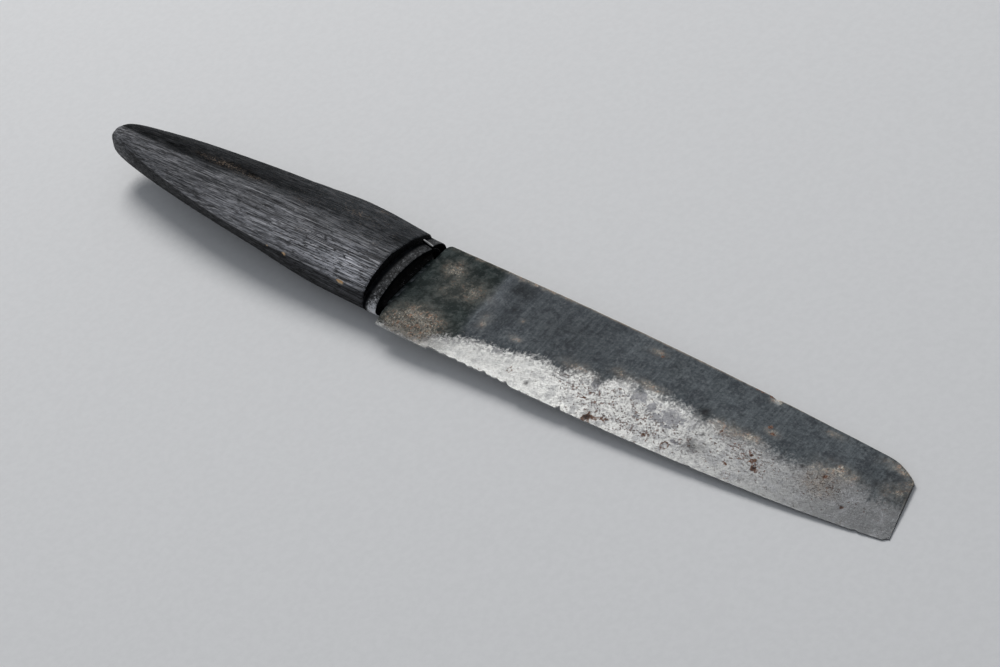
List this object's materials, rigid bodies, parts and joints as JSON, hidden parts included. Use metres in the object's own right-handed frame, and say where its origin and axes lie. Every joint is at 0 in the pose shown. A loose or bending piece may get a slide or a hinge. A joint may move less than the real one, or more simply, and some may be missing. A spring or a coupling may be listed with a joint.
{
  "type": "flat leather knife",
  "caption": "Long flat knife with a squared slanting end, bevelled on one face, bedded in a carved wooden grip behind a lapped iron collar.",
  "frame": {"origin": "on the blade's flat back, at the middle of the heel", "axes": "+X from the grip to the blade's squared end, +Y to the spine, -Y to the cutting edge, +Z out of the bevelled face"},
  "size_m": [0.3168, 0.0371, 0.0154],
  "materials": {
    "blade": "forged steel, dark fire scale and rust on the flat, worn bright along the bevel",
    "handle": "whittled open-grained wood, stained or charred dark, rubbed smooth",
    "collar": "blackened iron strip, semi-gloss",
    "pitch": "hard black pitch, glossy where it shows"
  },
  "bodies": {
    "root": {"blade": "blade", "handle": "handle", "collar": "collar", "pitch_bedding": "pitch"}
  },
  "joints": []
}
